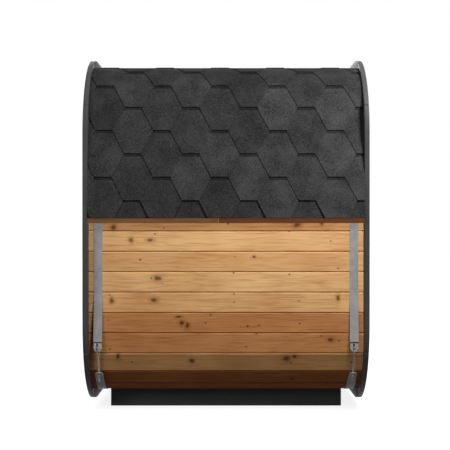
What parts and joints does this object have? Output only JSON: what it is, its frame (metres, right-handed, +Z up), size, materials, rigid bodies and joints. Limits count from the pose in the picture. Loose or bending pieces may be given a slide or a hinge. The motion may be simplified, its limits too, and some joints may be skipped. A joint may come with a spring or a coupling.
{
  "type": "cube sauna",
  "caption": "Cube-shaped garden sauna of horizontal staves with rounded corners, end collars, shingled roof with flared eaves, steel straps with tensioners and a low base.",
  "frame": {"origin": "centre of the footprint, on the ground", "axes": "+X along the staves towards the door end, +Y across to the far side wall, +Z up"},
  "size_m": [1.643, 2.1326, 2.113],
  "materials": {
    "stave_wood": "planed softwood boards, clear oiled, with knots",
    "wall_wood": "planed softwood boards, clear oiled",
    "door_wood": "planed softwood, clear oiled",
    "eave_wood": "brown stained softwood",
    "handle_wood": "dark stained hardwood, satin",
    "collar_paint": "anthracite satin paint on softwood",
    "base_paint": "black matt paint on softwood beams",
    "bitumen": "mineral-granule bitumen shingles, charcoal",
    "steel": "dull stainless strip and rod",
    "fittings": "black powder coat",
    "glass": "bronze-grey toughened glass"
  },
  "bodies": {
    "root": {"floor_staves": "stave_wood", "roof_staves": "stave_wood", "near_side_staves": "stave_wood", "far_side_staves": "stave_wood", "near_lower_corner_staves": "stave_wood", "near_upper_corner_staves": "stave_wood", "far_lower_corner_staves": "stave_wood", "far_upper_corner_staves": "stave_wood", "front_wall_left": "wall_wood", "front_wall_right": "wall_wood", "front_wall_over_door": "wall_wood", "rear_wall": "wall_wood", "door_frame": "door_wood", "door_leaf": "door_wood", "door_glass": "glass", "door_hinges": "fittings", "door_handle": "handle_wood", "front_collar_top": "collar_paint", "front_collar_bottom": "collar_paint", "front_collar_near": "collar_paint", "front_collar_far": "collar_paint", "front_collar_near_top_corner": "collar_paint", "front_collar_near_bottom_corner": "collar_paint", "front_collar_far_top_corner": "collar_paint", "front_collar_far_bottom_corner": "collar_paint", "rear_collar_top": "collar_paint", "rear_collar_bottom": "collar_paint", "rear_collar_near": "collar_paint", "rear_collar_far": "collar_paint", "rear_collar_near_top_corner": "collar_paint", "rear_collar_near_bottom_corner": "collar_paint", "rear_collar_far_top_corner": "collar_paint", "rear_collar_far_bottom_corner": "collar_paint", "roof_covering": "bitumen", "near_roof_skirt": "bitumen", "far_roof_skirt": "bitumen", "near_eave_board": "eave_wood", "far_eave_board": "eave_wood", "near_eave_batten": "stave_wood", "far_eave_batten": "stave_wood", "front_strap": "steel", "rear_strap": "steel", "near_front_tensioner": "steel", "near_rear_tensioner": "steel", "far_front_tensioner": "steel", "far_rear_tensioner": "steel", "base_near_beam": "base_paint", "base_far_beam": "base_paint", "base_cross_beams": "base_paint"}
  },
  "joints": []
}
